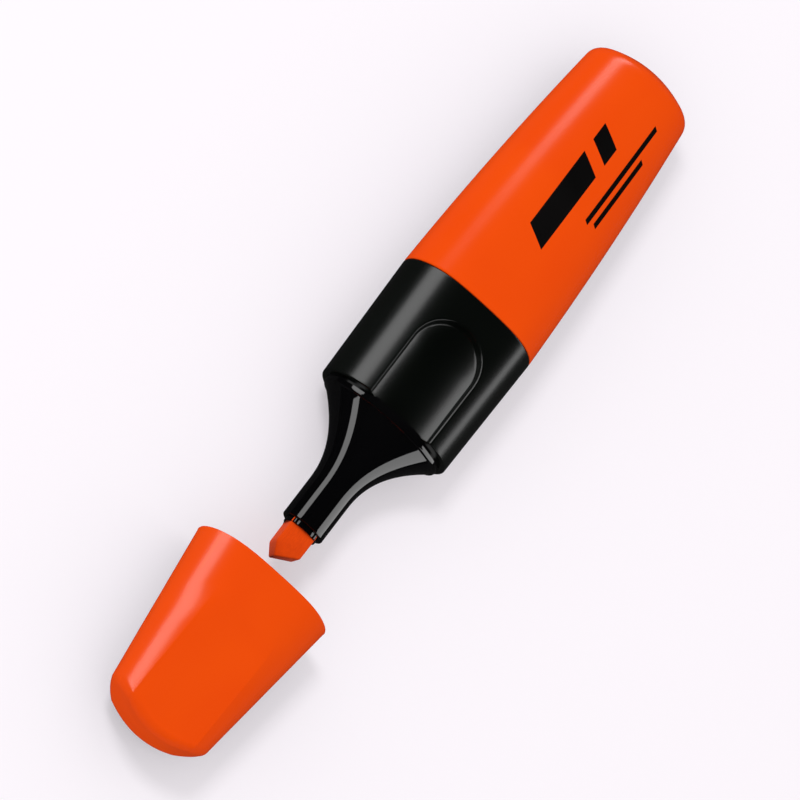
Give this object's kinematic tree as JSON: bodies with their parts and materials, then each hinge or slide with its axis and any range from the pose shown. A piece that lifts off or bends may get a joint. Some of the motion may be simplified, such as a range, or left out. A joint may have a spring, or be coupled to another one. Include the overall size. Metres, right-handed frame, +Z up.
{
  "type": "capped flat highlighter",
  "caption": "Flat oval highlighter with a waisted nozzle, chisel felt nib, thumb recess on the grip and a push-on cap that slides along the pen axis.",
  "frame": {"origin": "on the floor under the pen axis, at the joint between barrel and grip", "axes": "+X runs along the pen to its rear end and the nib points to -X, +Y is across the width, +Z is up out of the flat face"},
  "size_m": [0.1442, 0.027, 0.016],
  "materials": {
    "barrel_plastic": "satin-gloss moulded orange",
    "grip_plastic": "satin black",
    "nozzle_plastic": "polished black",
    "nib_felt": "ink-soaked orange felt",
    "reservoir_fibre": "ink-soaked fibre",
    "reservoir_film": "thin clear film",
    "cap_plastic": "satin-gloss moulded orange",
    "seal_plastic": "soft translucent orange"
  },
  "bodies": {
    "pen": {"barrel": "barrel_plastic", "grip_sleeve": "grip_plastic", "nozzle": "nozzle_plastic", "nib": "nib_felt", "ink_reservoir": "reservoir_fibre", "reservoir_wrap": "reservoir_film"},
    "cap": {"cap_shell": "cap_plastic", "cap_inner_seal": "seal_plastic"}
  },
  "joints": [
    {"name": "cap_slide", "type": "slide", "parent": "pen", "child": "cap", "axis": [1, 0, 0], "range_m": [0, 0.0341]}
  ]
}
